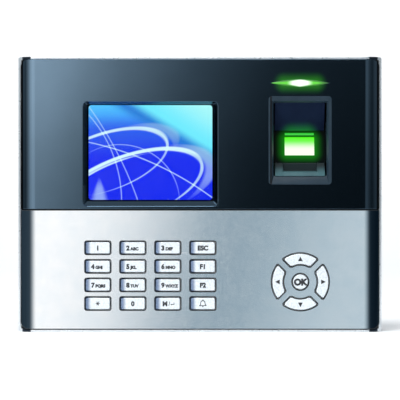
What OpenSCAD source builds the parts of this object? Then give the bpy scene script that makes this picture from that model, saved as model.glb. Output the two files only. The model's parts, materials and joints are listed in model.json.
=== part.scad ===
// Wall-mounted fingerprint terminal: colour display, sixteen-key pad, five-way keys
// and an optical finger sensor in a two-shell case on a steel wall plate.
// Millimetres, +Z up, front towards -Y, +X to the right seen from the front.
// The origin lies on the wall plane, behind the middle of the case.

/* [Case] */
// Width of the case across its rolled sides
case_w = 180; // [178:1:186]
// Height of the case
case_h = 135.4; // [134.4:0.2:140]
// Distance from the wall to the front of the fascias
case_d = 34.5; // [34.5:0.5:37]
// Height of the seam between the dark and the silver fascia
seam_z = -7.5; // [-7.6:0.1:-7.4]

/* [Display] */
// Width of the visible picture
picture_w = 60.8; // [58:0.2:61]
// Height of the visible picture
picture_h = 46.5; // [44:0.5:47]

/* [Keys] */
// Width of a keypad cap
cap_w = 11.7; // [11:0.1:12]
// Height of a keypad cap
cap_h = 5.5; // [5:0.1:5.8]
// Gap between a cap and the edge of its hole
key_gap = 0.6; // [0.4:0.1:0.7]
// Distance from column to column
col_pitch = 17.2; // [16.8:0.1:17.4]
// Distance from row to row
row_pitch = 9.12; // [9:0.02:9.2]
// How far a key travels when pressed
key_travel = 1; // [0.6:0.1:1]

/* [Wall plate] */
// Distance between the wall screws, side to side
wall_screw_dx = 100; // [96:1:104]
// Distance between the wall screws, up and down
wall_screw_dz = 80; // [76:1:82]
// Radius of the wall screw holes
wall_screw_r = 2.25; // [2:0.05:2.5]

/* [Hidden] */
$fn = 48;
CAP = "#e8ecef";
DARK = "#14181d";
GREY = "#46505a";
STEEL = "#b9bec2";
BOARD = "#1f5a38";

// Case shells: depths run from the front plane of the fascias back to the wall at y = 0
front = -case_d;
roll_r = 9;
roll_x = case_w / 2 - roll_r;
roll_y = front + 0.5 + roll_r;
fascia_out_r = roll_r + 0.5;
fascia_in_r = roll_r - 0.9;
pocket_r = roll_r - 1;
cavity_r = roll_r - 3;
skin_back = roll_y - cavity_r;
parting = front + 10.5;
back_out = -6;
back_in = -8;
rim_side = 1.7;
rim_top = 1.4;
fascia_w = case_w - 2 * rim_side;
fascia_h = case_h - 2 * rim_top;
fascia_corner = 3.5;
fit_gap = 0.3;
seam_gap = 0.5;
wall_side = case_w / 2 - 3;
wall_top = case_h / 2 - 2;

// Display: the middle of the picture, and the bevelled frame around it
picture_x = -24.4;
picture_z = 20.6;
bevel_side = 2.8;
bevel_top = 1.8;
bevel_bottom = 3.3;
picture_corner = 1.2;
funnel_back = skin_back - 0.6;
window_back = funnel_back + 0.8;
seal_back = window_back + 0.6;
lcd_w = 70;
lcd_h = 55;
lcd_back = seal_back + 3.4;

// Keypad: the first column and the top row
key_x0 = -50.2;
key_z0 = -26.3;
cols = 4;
rows = 4;
cap_corner = 0.7;
cap_front = front - 1;
flange = 1.1;
flange_front = skin_back + 0.1;
flange_back = flange_front + 0.8;
mat_back = flange_back + key_travel + 2.3;
mat_front = mat_back - 0.8;
stem_back = mat_back - key_travel - 0.1;
boss_front = flange_back + key_travel + 0.1;
stem_w = 6;
stem_h = 3;
key_board_back = mat_back + 1.6;

// Five-way keys around the OK key
nav_x = 49.3;
nav_z = -43;
ok_r = 3.6;
nav_in_r = 8.8;
nav_out_r = 13.7;
nav_side = 2.1;
nav_chamfer = 0.6;
nav_stem_r = 11.2;

// Finger sensor: the bezel's middle, and the finger opening inside it
bezel_x = 49.2;
bezel_z = 26.5;
bezel_w = 30.8;
bezel_h = 43.4;
bezel_front = front - 1.5;
finger_w = 26.2;
finger_z0 = 8.95;
finger_z1 = 45.1;
tube_wall = 1.4;
bezel_bevel = 0.8;
bezel_bevel_bottom = 3.4;
tube_back = front + 14.5;
sensor_z0 = 15.6;
sensor_z1 = 31.5;
sensor_y0 = front + 5;
sensor_y1 = front + 9.5;
sensor_back = front + 18;
window_w = 14.6;

// Status light
light_z = 54.7;
light_w = 28.4;
light_h = 3.3;

// Main board, on the rear shell's posts, with an arm to the USB socket
board_front = -22.5;
board_back = -20.9;
board_x0 = -73.8;
board_x1 = 26;
board_z0 = -8.5;
board_z1 = 62;
arm_x1 = 82;
arm_z1 = 5;

// Cable bay in the back, and the plate's cable window
bay_x0 = -45;
bay_x1 = 15;
bay_z0 = -52;
bay_z1 = -11;
bay_front = -18.5;
bay_wall = 1.5;
ethernet_x = -30;
terminal_x = -11;
jack_x = 6;

// Wall plate and the raised rim around it
plate_w = 120;
plate_z0 = -60;
plate_z1 = 40;
plate_t = 1.5;
rim_wall = 2.5;
hook_x = 38;
hook_z = 25;
lock_x = 24;
lock_y = -3.4;

// Side socket for a memory stick, behind a rubber flap
usb_y = -17.6;
usb_z = -2;
flap_hinge_z = -12.4;
flap_hinge_x = case_w / 2 - 1.45;

speaker_x = 71;
speaker_z = -38;
speaker_r = 11;
reset_x = 70;
reset_z = -2;

NODES = [
    "wall_plate", "rear_housing", "front_housing", "upper_fascia", "lower_fascia",
    "display_window", "lcd_seal", "lcd_panel", "lcd_frame", "lcd_flex",
    "fingerprint_bezel", "finger_hood", "finger_rest", "sensor_housing", "sensor_prism",
    "sensor_camera", "sensor_leds", "sensor_board", "sensor_ribbon",
    "status_lens", "status_board", "keypad_mat", "key_board", "key_ribbon",
    "key_1", "key_2", "key_3", "key_esc", "key_4", "key_5", "key_6", "key_f1",
    "key_7", "key_8", "key_9", "key_f2", "key_star", "key_0", "key_menu", "key_bell",
    "nav_up", "nav_left", "nav_down", "nav_right", "ok_key",
    "main_board", "board_chips", "ethernet_socket", "power_jack", "terminal_block",
    "usb_socket", "usb_cover", "coin_cell", "speaker", "reset_switch", "reset_button",
    "housing_screws", "board_screws", "security_screw"
];
KEY_NAMES = [for (i = [0 : cols * rows - 1]) NODES[24 + i]];
NAV_NAMES = ["nav_up", "nav_left", "nav_down", "nav_right"];

function key_x(i) = key_x0 + col_pitch * (i % cols);
function key_z(i) = key_z0 - row_pitch * floor(i / cols);

// Where the four case screws, the key board's six and the main board's four go, as [x, z]
case_screws = [for (sx = [-1, 1], sz = [-1, 1]) [sx * 79, sz * 58]];
key_screws = [for (x = [-62, 21, 68], z = [-60.5, -22.5]) [x, z]];
main_screws = [[-70.5, 58.5], [22, 58.5], [-70.5, -5], [40, -1]];

// Extrudes a front-view outline from depth y0 to depth y1
module slab(y0, y1) {
    translate([0, y1, 0]) rotate([90, 0, 0]) linear_extrude(y1 - y0) children();
}

// Extrudes a side-view outline, drawn as [y, z], from x0 to x1
module across(x0, x1) {
    translate([x0, 0, 0]) rotate([90, 0, 90]) linear_extrude(x1 - x0) children();
}

// Rounded rectangle about a middle
module rounded(w, h, r, x = 0, z = 0) {
    translate([x, z]) {
        square([w - 2 * r, h], center = true);
        square([w, h - 2 * r], center = true);
        for (sx = [-1, 1], sz = [-1, 1])
            translate([sx * (w / 2 - r), sz * (h / 2 - r)]) circle(r);
    }
}

module box(x0, x1, y0, y1, z0, z1) {
    translate([x0, y0, z0]) cube([x1 - x0, y1 - y0, z1 - z0]);
}

// Round bar along Y
module rod(x, z, r, y0, y1) {
    translate([x, y1, z]) rotate([90, 0, 0]) cylinder(h = y1 - y0, r = r);
}

// Solid inside the rolled front surface of radius r, back to depth y1
module rolled(r, y1) {
    translate([0, 0, -case_h]) linear_extrude(2 * case_h) {
        translate([-roll_x, roll_y - r]) square([2 * roll_x, y1 - roll_y + r]);
        translate([-roll_x - r, roll_y]) square([2 * (roll_x + r), y1 - roll_y]);
        for (side = [-1, 1]) translate([side * roll_x, roll_y]) circle(r, $fn = 96);
    }
}

// Four-sided hole, w x h about [x, z] at depth y1, that widens forwards to depth y0
module flared(x, z, w, h, side, top, bottom, y0, y1) {
    intersection() {
        translate([x, 0, z - h / 2 - bottom]) linear_extrude(h + bottom + top)
            polygon([[-w / 2 - side, y0], [w / 2 + side, y0], [w / 2, y1], [-w / 2, y1]]);
        translate([0, 0, z]) across(x - w / 2 - side, x + w / 2 + side)
            polygon([[y0, -h / 2 - bottom], [y0, h / 2 + top], [y1, h / 2], [y1, -h / 2]]);
    }
}

module display_outline() {
    rounded(picture_w + 2 * bevel_side, picture_h + bevel_top + bevel_bottom, 2.4,
            picture_x, picture_z + (bevel_top - bevel_bottom) / 2);
}

// Display opening, its four bevelled sides running in to the picture's rounded corners
module display_cut() {
    difference() {
        intersection() {
            flared(picture_x, picture_z, picture_w, picture_h, bevel_side, bevel_top, bevel_bottom,
                   front, funnel_back);
            slab(front, funnel_back) display_outline();
        }
        for (sx = [-1, 1], sz = [-1, 1])
            translate([picture_x + sx * picture_w / 2, 0, picture_z + sz * picture_h / 2])
                slab(funnel_back - 0.6, funnel_back + 1) difference() {
                    square(2 * picture_corner, center = true);
                    translate([-sx * picture_corner, -sz * picture_corner]) circle(picture_corner);
                }
    }
    slab(front - 1, front) display_outline();
}

// Outline of the funnel wall that stands behind the dark fascia around the display
module funnel_outline(grow) {
    top = picture_z + picture_h / 2 + bevel_top + 1;
    bottom = seam_z + seam_gap;
    rounded(picture_w + 2 * bevel_side + 2 + 2 * grow, top - bottom + 2 * grow, 1.5,
            picture_x, (top + bottom) / 2);
}

module key_outlines(grow) {
    for (i = [0 : cols * rows - 1])
        rounded(cap_w + 2 * grow, cap_h + 2 * grow, cap_corner + grow / 2, key_x(i), key_z(i));
}

// One arrow key's outline, pointing up: part of a ring with cut corners, edges moved out by grow
module arrow_outline(grow) {
    side = nav_side - grow;
    cut = nav_chamfer;
    u_in = sqrt(pow(nav_in_r - grow, 2) - side * side);
    u_out = sqrt(pow(nav_out_r + grow, 2) - side * side);
    rotate(45) intersection() {
        difference() {
            circle(nav_out_r + grow, $fn = 96);
            circle(nav_in_r - grow, $fn = 96);
        }
        polygon([[u_in + cut, side], [u_out - cut, side], [u_out + cut, side + 2 * cut],
                 [2 * u_out, 2 * u_out], [side + 2 * cut, u_out + cut], [side, u_out - cut],
                 [side, u_in + cut], [side + 2 * cut, u_in - cut],
                 [side + 2 * cut, side + 2 * cut], [u_in - cut, side + 2 * cut]]);
    }
}

module nav_outlines(grow) {
    translate([nav_x, nav_z]) {
        circle(ok_r + grow);
        for (turn = [0 : 3]) rotate(90 * turn) arrow_outline(grow);
    }
}

// Pointed oval of the status light
module light_outline(grow) {
    half_w = light_w / 2 + grow;
    half_h = light_h / 2 + grow;
    r = (half_w * half_w + half_h * half_h) / (2 * half_h);
    translate([bezel_x, light_z]) intersection() {
        translate([0, r - half_h]) circle(r, $fn = 360);
        translate([0, half_h - r]) circle(r, $fn = 360);
    }
}

module finger_outline(grow) {
    rounded(finger_w + 2 * grow, finger_z1 - finger_z0 + 2 * grow, 0.8,
            bezel_x, (finger_z0 + finger_z1) / 2);
}

// --- Front of the case ---

// Curved cover lying in the front shell's pocket, between heights z0 and z1
module fascia(z0, z1) {
    intersection() {
        difference() {
            rolled(fascia_out_r, roll_y + 1);
            rolled(fascia_in_r, roll_y + 2);
        }
        slab(front - 1, roll_y) rounded(fascia_w, fascia_h, fascia_corner);
        box(-case_w, case_w, front - 1, roll_y, z0, z1);
    }
}

module upper_fascia() {
    color(DARK) difference() {
        union() {
            fascia(seam_z + seam_gap / 2, case_h);
            slab(front + 0.7, funnel_back) funnel_outline(0);
        }
        display_cut();
        slab(front - 1, skin_back) finger_outline(tube_wall + 0.2);
        slab(front - 1, skin_back) light_outline(0.15);
    }
}

module lower_fascia() {
    color("#b9c4cc") difference() {
        fascia(-case_h, seam_z - seam_gap / 2);
        slab(front - 1, skin_back) key_outlines(key_gap);
        slab(front - 1, skin_back) nav_outlines(key_gap);
    }
}

module front_housing() {
    lip = 1.2;
    color("#d9dde0") difference() {
        union() {
            difference() {
                intersection() {
                    rolled(roll_r, parting);
                    slab(front, parting) rounded(case_w, case_h, 1);
                }
                difference() {
                    slab(front - 1, roll_y)
                        rounded(fascia_w + 2 * fit_gap, fascia_h + 2 * fit_gap, fascia_corner + fit_gap);
                    rolled(pocket_r, roll_y + 1);
                }
                intersection() {
                    rolled(cavity_r, parting + 1);
                    box(-case_w, case_w, front, parting + 1, -wall_top, wall_top);
                }
            }
            for (p = case_screws) rod(p[0], p[1], 3.6, skin_back - 0.5, parting);
            for (p = key_screws) rod(p[0], p[1], 2.6, skin_back - 0.5, mat_back);
            for (side = [-1, 1]) rod(bezel_x + 16 * side, light_z, 1.4, skin_back - 0.5, skin_back + 1.6);
            lcd_ribs();
        }
        // rebate that takes the rear shell's lip
        difference() {
            slab(parting - 2.2, parting + 1) rounded(case_w - 2 * lip, case_h - 2 * lip + 0.8, 0.6);
            slab(parting - 3, parting + 2)
                square([2 * wall_side + 0.01, 2 * wall_top + 0.01], center = true);
        }
        for (p = case_screws) rod(p[0], p[1], 1.45, skin_back + 1, parting + 1);
        for (p = key_screws) rod(p[0], p[1], 1.25, skin_back + 0.5, mat_back + 1);
        slab(front, funnel_back + 5) funnel_outline(0.3);
        slab(front, skin_back + 1) finger_outline(tube_wall + 0.2);
        slab(front, skin_back + 1) light_outline(0.15);
        slab(front, skin_back + 1) key_outlines(key_gap + 0.1);
        slab(front, skin_back + 1) nav_outlines(key_gap + 0.1);
    }
}

// Four pairs of ribs that hold the display module by its corners
module lcd_ribs() {
    for (sx = [-1, 1], sz = [-1, 1]) translate([picture_x, 0, picture_z]) {
        box_at(sx * (lcd_w / 2 + 0.85), sz * (lcd_h / 2 - 5), 1.5, 8);
        box_at(sx * (lcd_w / 2 - 5), sz * (lcd_h / 2 + 0.85), 8, 1.5);
    }
}

module box_at(x, z, w, h) {
    box(x - w / 2, x + w / 2, skin_back - 0.5, seal_back + 2.4, z - h / 2, z + h / 2);
}

// --- Display ---

module display_window() {
    color("#9fc6e8", 0.4) slab(funnel_back, window_back)
        rounded(picture_w + 3, picture_h + 2.6, 1, picture_x, picture_z);
}

module lcd_seal() {
    color("#202020") slab(window_back, seal_back) difference() {
        rounded(picture_w + 3, picture_h + 2.6, 1, picture_x, picture_z);
        rounded(picture_w + 0.6, picture_h + 0.6, 0.5, picture_x, picture_z);
    }
}

module lcd_panel() {
    color("#2a6fe0") slab(seal_back + 0.3, seal_back + 1.7)
        translate([picture_x, picture_z]) square([lcd_w - 3, lcd_h - 3], center = true);
}

module lcd_frame() {
    color(STEEL) difference() {
        slab(seal_back, lcd_back) rounded(lcd_w, lcd_h, 1, picture_x, picture_z);
        slab(seal_back - 1, seal_back + 1)
            rounded(picture_w + 0.6, picture_h + 0.6, 0.5, picture_x, picture_z);
        slab(seal_back + 0.3, seal_back + 1.7)
            translate([picture_x, picture_z]) square([lcd_w - 3, lcd_h - 3], center = true);
    }
}

// Flat film cable from the display's back down and round to the main board
module lcd_flex() {
    t = 0.3;
    z_low = -3.6;
    color("#c9822b") across(picture_x - 14, picture_x + 14) polygon([
        [lcd_back, 4.4], [lcd_back + 1.2, z_low], [board_front - 0.9, z_low],
        [board_front - 0.9, 6.6], [board_front, 6.6], [board_front, 6.3], [board_front - 0.6, 6.3],
        [board_front - 0.6, z_low - t], [lcd_back + 1.2 - t, z_low - t], [lcd_back, 3.2]]);
}

// --- Finger sensor ---

module fingerprint_bezel() {
    color(GREY) difference() {
        union() {
            slab(bezel_front, front) rounded(bezel_w, bezel_h, 1.6, bezel_x, bezel_z);
            slab(front, tube_back) finger_outline(tube_wall);
        }
        slab(bezel_front - 1, tube_back + 1) finger_outline(0);
        flared(bezel_x, (finger_z0 + finger_z1) / 2, finger_w, finger_z1 - finger_z0, bezel_bevel,
               bezel_bevel, bezel_bevel_bottom, bezel_front, bezel_front + 1.4);
        // thin groove down the left side
        box(bezel_x - bezel_w / 2 + 0.8, bezel_x - bezel_w / 2 + 1.3, bezel_front - 1,
            bezel_front + 0.5, bezel_z - bezel_h / 2 + 0.8, bezel_z + bezel_h / 2 - 1.2);
    }
}

// Sloping cover over the fingertip, from the top edge down into the recess
module finger_hood() {
    color("#1c2733") across(bezel_x - finger_w / 2 + 0.8, bezel_x + finger_w / 2 - 0.8) polygon([
        [front + 0.9, finger_z1], [sensor_y1 + 0.4, sensor_z1], [sensor_y1 + 3, sensor_z1],
        [sensor_y1 + 3, sensor_z1 + 1], [sensor_y1 + 1.2, sensor_z1 + 1], [front + 2.9, finger_z1]]);
}

// Sill below the sensor: two side ramps with a groove for the finger between them
module finger_rest() {
    x0 = bezel_x - finger_w / 2;
    x1 = bezel_x + finger_w / 2;
    color("#5b6872") {
        for (x = [x0 + 0.8, x1 - 4.8]) across(x, x + 4) polygon([
            [front - 0.6, finger_z0], [front + 4.6, sensor_z0], [sensor_y0 + 3, sensor_z0],
            [sensor_y0 + 3, finger_z0]]);
        across(x0 + 4.8, x1 - 4.8) polygon([
            [front - 0.6, finger_z0], [front + 1, finger_z0 + 2.3], [front + 4.4, finger_z0 + 2.8],
            [sensor_y0 - 0.1, sensor_z0 - 0.6], [sensor_y0 + 0.2, sensor_z0], [sensor_y0 + 3, sensor_z0],
            [sensor_y0 + 3, finger_z0]]);
    }
}

module sensor_housing() {
    x0 = bezel_x - finger_w / 2;
    x1 = bezel_x + finger_w / 2;
    slope = (sensor_y1 - sensor_y0) / (sensor_z1 - sensor_z0);
    color(DARK) difference() {
        across(x0, x1) polygon([
            [sensor_y0, sensor_z0], [sensor_y1, sensor_z1], [sensor_back, sensor_z1],
            [sensor_back, sensor_z0]]);
        across(bezel_x - 9.2, bezel_x + 9.2) polygon([
            [sensor_y0 + 1.6, sensor_z0 + 2], [sensor_y1 + 0.6, sensor_z1 - 0.8],
            [sensor_back + 1, sensor_z1 - 0.8], [sensor_back + 1, sensor_z0 + 2]]);
        box(bezel_x - window_w / 2, bezel_x + window_w / 2, sensor_y0 - 1, sensor_y1 + 2, 19.3, 28.3);
        box(bezel_x - window_w / 2 + 0.1, bezel_x + window_w / 2 - 0.1,
            sensor_y0 - 1, sensor_y1 + 2, 29.3, 30.4);
    }
}

// Glass prism whose sloping front face the finger touches through the window
module sensor_prism() {
    color("#7dff5a") across(bezel_x - 8.2, bezel_x + 8.2) polygon([
        [sensor_y0 + 1.8, sensor_z0 + 2.4], [sensor_y1 + 0.75, sensor_z1 - 1.0],
        [sensor_y1 + 3, sensor_z1 - 1.0], [sensor_y1 + 4.5, sensor_z1 - 4], [sensor_y0 + 5, sensor_z0 + 2.4]]);
}

module sensor_board() {
    color(BOARD) slab(sensor_back, sensor_back + 1.2)
        translate([bezel_x, 23.5]) square([26, 22], center = true);
}

// Lens barrel and its square holder, looking forward at the prism
module sensor_camera() {
    color("#222222") {
        slab(sensor_back - 1.2, sensor_back) translate([bezel_x, 22]) square(8, center = true);
        rod(bezel_x, 22, 2.6, sensor_back - 2.8, sensor_back - 1.2);
    }
}

module sensor_leds() {
    color("#c8ffb8") for (dx = [-6.5, 6.5], z = [20.4, 27.5])
        slab(sensor_back - 1.1, sensor_back) translate([bezel_x + dx, z]) square([3, 2], center = true);
}

// Flat cable from the sensor board across to the main board
module sensor_ribbon() {
    w = 8;
    y_mid = sensor_back + 2.4;
    color("#d8d8d8") translate([0, 0, 16]) linear_extrude(w) polygon([
        [44, sensor_back + 1.2], [44, y_mid], [30, y_mid], [27, board_back + 2.2], [20, board_back + 2.2],
        [20, board_back], [20.5, board_back], [20.5, board_back + 1.8], [27.1, board_back + 1.8],
        [30.2, y_mid - 0.4], [43.6, y_mid - 0.4], [43.6, sensor_back + 1.2]]);
}

// --- Status light ---

module status_lens() {
    color("#b8ffb0") slab(front - 0.4, skin_back + 0.4) light_outline(0);
}

module status_board() {
    color(BOARD) {
        slab(skin_back + 1.6, skin_back + 2.6)
            translate([bezel_x, light_z]) square([36, 7], center = true);
        for (dx = [-8, 0, 8]) slab(skin_back + 0.7, skin_back + 1.6)
            translate([bezel_x + dx, light_z]) square([3.2, 2], center = true);
    }
}

// --- Keys ---

// Solid of a key: outline children(0) up to the flange, children(1) flange, children(2) stem
module key_solid() {
    slab(cap_front, flange_front) children(0);
    slab(flange_front, flange_back) children(1);
    slab(flange_back, stem_back) children(2);
}

module pad_key(i) {
    color(CAP) key_solid() {
        rounded(cap_w, cap_h, cap_corner, key_x(i), key_z(i));
        rounded(cap_w + 2 * flange, cap_h + 2 * flange, 1, key_x(i), key_z(i));
        translate([key_x(i), key_z(i)]) square([stem_w, stem_h], center = true);
    }
}

module arrow_key(turn) {
    color(CAP) key_solid() {
        translate([nav_x, nav_z]) rotate(90 * turn) arrow_outline(0);
        translate([nav_x, nav_z]) rotate(90 * turn) arrow_outline(1);
        translate([nav_x, nav_z]) rotate(90 * turn) translate([0, nav_stem_r]) square([stem_w, stem_h], center = true);
    }
}

module ok_key() {
    color(CAP) key_solid() {
        translate([nav_x, nav_z]) circle(ok_r);
        translate([nav_x, nav_z]) circle(ok_r + 0.9);
        translate([nav_x, nav_z]) circle(1.8);
    }
}

// Holes in the rubber mat for the stems, with their edges moved out by grow
module stem_outlines(grow) {
    for (i = [0 : cols * rows - 1])
        translate([key_x(i), key_z(i)]) square([stem_w + 2 * grow, stem_h + 2 * grow], center = true);
    translate([nav_x, nav_z]) {
        circle(1.8 + grow);
        for (turn = [0 : 3]) rotate(90 * turn) translate([0, nav_stem_r])
            square([stem_w + 2 * grow, stem_h + 2 * grow], center = true);
    }
}

// Rubber mat with a raised collar around each key's stem
module keypad_mat() {
    color("#8b9299") difference() {
        union() {
            difference() {
                slab(mat_front, mat_back) {
                    translate([key_x0 - 8, key_z0 - 3 * row_pitch - 4]) square([67.6, 3 * row_pitch + 8]);
                    translate([nav_x - 14.6, nav_z - 14.6]) square(29.2);
                    translate([0, nav_z - 4]) square([nav_x, 8]);
                }
                for (p = key_screws) rod(p[0], p[1], 2.9, mat_front - 1, mat_back + 1);
            }
            slab(boss_front, mat_front) stem_outlines(1.3);
        }
        slab(boss_front - 1, mat_back + 1) stem_outlines(0.4);
    }
}

module key_board() {
    color(BOARD) difference() {
        slab(mat_back, key_board_back) translate([-65, -63.5]) square([136, 44]);
        for (p = key_screws) rod(p[0], p[1], 1.4, mat_back - 1, key_board_back + 1);
    }
}

// Flat cable from the key board up to the main board
module key_ribbon() {
    color("#d8d8d8") across(-20, 0) polygon([
        [key_board_back, -24], [key_board_back + 1.4, -24], [key_board_back + 1.4, board_z0 + 3],
        [board_front, board_z0 + 3], [board_front, board_z0 + 2.6], [key_board_back + 1.8, board_z0 + 2.6],
        [key_board_back + 1.8, -24.4], [key_board_back, -24.4]]);
}

// --- Main board and what stands on it ---

module main_board() {
    color(BOARD) difference() {
        slab(board_front, board_back) {
            translate([board_x0, board_z0]) square([board_x1 - board_x0, board_z1 - board_z0]);
            translate([board_x1 - 1, board_z0]) square([arm_x1 - board_x1 + 1, arm_z1 - board_z0]);
        }
        for (p = main_screws) rod(p[0], p[1], 1.4, board_front - 1, board_back + 1);
    }
}

module board_chips() {
    chips = [[-50, 24, 17, 17, 1.4], [-26, 26, 12, 20, 1.1], [-6, 26, 12, 20, 1.1], [-50, 2, 9, 9, 1.2],
             [14, 9, 8, 6, 1.0], [0, 4, 10, 10, 1.8], [-66, 42, 5, 6, 1.5], [-30, 48, 14, 7, 1.1]];
    color("#1b1b1d") for (c = chips)
        slab(board_front - c[4], board_front) translate([c[0], c[1]]) square([c[2], c[3]], center = true);
}

module ethernet_socket() {
    y0 = board_back;
    y1 = board_back + 12.6;
    z0 = bay_z1 + bay_wall;
    color(STEEL) difference() {
        box(ethernet_x - 8, ethernet_x + 8, y0, y1, z0, z0 + 16);
        box(ethernet_x - 5.9, ethernet_x + 5.9, y0 + 3, y0 + 9.8, z0 - 1, z0 + 12);
        box(ethernet_x - 3, ethernet_x + 3, y0 + 1.4, y0 + 3.1, z0 - 1, z0 + 12);
    }
}

module power_jack() {
    y0 = board_back;
    y_mid = y0 + 6;
    z0 = bay_z1 + bay_wall;
    color("#1d1d1f") {
        difference() {
            box(jack_x - 4.5, jack_x + 4.5, y0, y0 + 11, z0, z0 + 14);
            translate([jack_x, y_mid, z0 - 1]) cylinder(h = 10.5, r = 3.2);
        }
        translate([jack_x, y_mid, z0 + 1]) cylinder(h = 9, r = 1.05);
    }
}

// Four-way push-in terminal: wires enter from below, beside the slots that free them
module terminal_block() {
    y0 = board_back;
    z0 = bay_z1 + bay_wall;
    color("#2f8a4a") difference() {
        box(terminal_x - 8, terminal_x + 8, y0, y0 + 8.6, z0, z0 + 10);
        for (n = [0 : 3]) translate([terminal_x - 5.7 + 3.8 * n, 0, 0]) {
            box(-1.3, 1.3, y0 + 1.2, y0 + 3.8, z0 - 1, z0 + 7);
            box(-1.1, 1.1, y0 + 5.6, y0 + 6.8, z0 - 1, z0 + 4);
        }
    }
}

module usb_socket() {
    x1 = wall_side + 0.3;
    color(STEEL) {
        difference() {
            box(x1 - 14, x1, usb_y - 3.3, usb_y + 2.7, usb_z - 6.6, usb_z + 6.6);
            box(x1 - 12.5, x1 + 1, usb_y - 2.9, usb_y + 2.3, usb_z - 6.2, usb_z + 6.2);
        }
        box(x1 - 13, x1 - 2, usb_y - 2.3, usb_y - 0.5, usb_z - 5.6, usb_z + 5.6);
    }
}

module coin_cell() {
    color(STEEL) {
        rod(-56, 40, 10, board_back, board_back + 3.2);
        slab(board_back + 3.2, board_back + 3.5) translate([-56, 40]) square([24, 5], center = true);
    }
}

// Small moving-coil speaker: basket, cone cavity and magnet
module speaker() {
    color("#3a3a3c") difference() {
        union() {
            rod(speaker_x, speaker_z, speaker_r, back_in - 3, back_in);
            rod(speaker_x, speaker_z, 7, back_in - 6.5, back_in - 3);
        }
        rod(speaker_x, speaker_z, speaker_r - 1.5, back_in - 1.4, back_in + 1);
    }
}

module reset_switch() {
    color(STEEL) difference() {
        slab(board_back, board_back + 3.6) translate([reset_x, reset_z]) square(6, center = true);
        rod(reset_x, reset_z, 2, board_back + 1.6, board_back + 4);
    }
}

module reset_button() {
    color("#222222") rod(reset_x, reset_z, 1.7, board_back + 2.2, back_in - 1.5);
}

// --- Back of the case ---

module rear_housing() {
    w = case_w - 2;
    h = case_h;
    bevel = 4;
    color("#2b3036") difference() {
        union() {
            difference() {
                intersection() {
                    translate([0, 0, -h / 2]) linear_extrude(h) polygon([
                        [-w / 2, parting], [w / 2, parting], [w / 2, back_out - bevel],
                        [w / 2 - bevel, back_out], [bevel - w / 2, back_out], [-w / 2, back_out - bevel]]);
                    across(-w / 2, w / 2) polygon([
                        [parting, -h / 2], [parting, h / 2], [back_out - bevel, h / 2],
                        [back_out, h / 2 - bevel], [back_out, bevel - h / 2], [back_out - bevel, -h / 2]]);
                    slab(parting, back_out) rounded(w, h, 1);
                }
                intersection() {
                    translate([0, 0, -wall_top]) linear_extrude(2 * wall_top) polygon([
                        [-wall_side, parting - 1], [wall_side, parting - 1], [wall_side, back_in - 3],
                        [wall_side - 3, back_in], [3 - wall_side, back_in], [-wall_side, back_in - 3]]);
                    across(-wall_side, wall_side) polygon([
                        [parting - 1, -wall_top], [parting - 1, wall_top], [back_in - 3, wall_top],
                        [back_in, wall_top - 3], [back_in, 3 - wall_top], [back_in - 3, -wall_top]]);
                }
            }
            locating_lip();
            plate_rim();
            for (p = case_screws) rod(p[0], p[1], 4.6, parting, back_out - 0.5);
            for (p = main_screws) rod(p[0], p[1], 2.8, board_back, back_in + 0.5);
            box(bay_x0 - bay_wall, bay_x1 + bay_wall, bay_front - bay_wall, back_out - 0.5,
                bay_z0 - bay_wall, bay_z1 + bay_wall);
            difference() {
                rod(speaker_x, speaker_z, speaker_r + 1.4, back_in - 2.5, back_in + 0.5);
                rod(speaker_x, speaker_z, speaker_r + 0.1, back_in - 4, back_in);
            }
        }
        box(bay_x0, bay_x1, bay_front, 1, bay_z0, bay_z1);
        connector_holes();
        for (p = case_screws) {
            rod(p[0], p[1], 1.7, parting - 1, back_out);
            rod(p[0], p[1], 3.3, parting + 4, 1);
        }
        for (p = main_screws) rod(p[0], p[1], 1.25, board_back - 1, board_back + 8);
        for (side = [-1, 1]) box(side * hook_x - 6, side * hook_x + 6, back_in - 1, back_out + 1,
                                 hook_z - 3.2, hook_z + 2.2);
        speaker_grille();
        rod(reset_x, reset_z, 1.1, back_in - 1, back_out + 1);
        // socket hole and the shallow recess around the rubber flap
        box(wall_side - 1, case_w, usb_y - 3.5, usb_y + 2.9, usb_z - 6.8, usb_z + 6.8);
        box(flap_hinge_x - 0.75, case_w, usb_y - 5, usb_y + 4.4, flap_hinge_z - 1, usb_z + 8.9);
    }
}

// Thin wall that reaches into the front shell and lines the two shells up
module locating_lip() {
    difference() {
        slab(parting - 2, parting + 1) rounded(case_w - 2.8, case_h - 2, 0.5);
        slab(parting - 3, parting + 2) square([2 * wall_side + 0.2, 2 * wall_top + 0.2], center = true);
    }
}

// Raised rim on the back around the wall plate, notched below for a surface cable
module plate_rim() {
    z_mid = (plate_z0 + plate_z1) / 2;
    h = plate_z1 - plate_z0;
    difference() {
        slab(back_out - 0.5, -0.3) difference() {
            rounded(plate_w + 1 + 2 * rim_wall, h + 1 + 2 * rim_wall, 3, 0, z_mid);
            rounded(plate_w + 1, h + 1, 1, 0, z_mid);
        }
        box(-22, -8, back_out, 1, plate_z0 - 8, plate_z0 + 1);
        translate([lock_x, lock_y, plate_z0 - 8]) cylinder(h = 9, r = 1.6);
    }
}

// Where the plugs reach the sockets, through the ceiling of the bay
module connector_holes() {
    z0 = bay_z1 - 1;
    z1 = bay_z1 + bay_wall + 0.01;
    box(ethernet_x - 6.2, ethernet_x + 6.2, bay_front, board_back + 10, z0, z1);
    box(terminal_x - 8, terminal_x + 8, bay_front, board_back + 8.6, z0, z1);
    translate([jack_x, board_back + 6, z0]) cylinder(h = z1 - z0, r = 3.5);
}

// Rings of small sound holes
module speaker_grille() {
    rod(speaker_x, speaker_z, 0.8, back_in - 1, back_out + 1);
    for (ring = [1 : 2], k = [0 : 6 * ring - 1])
        rod(speaker_x + 3 * ring * cos(60 * k / ring), speaker_z + 3 * ring * sin(60 * k / ring), 0.8,
            back_in - 1, back_out + 1);
}

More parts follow.
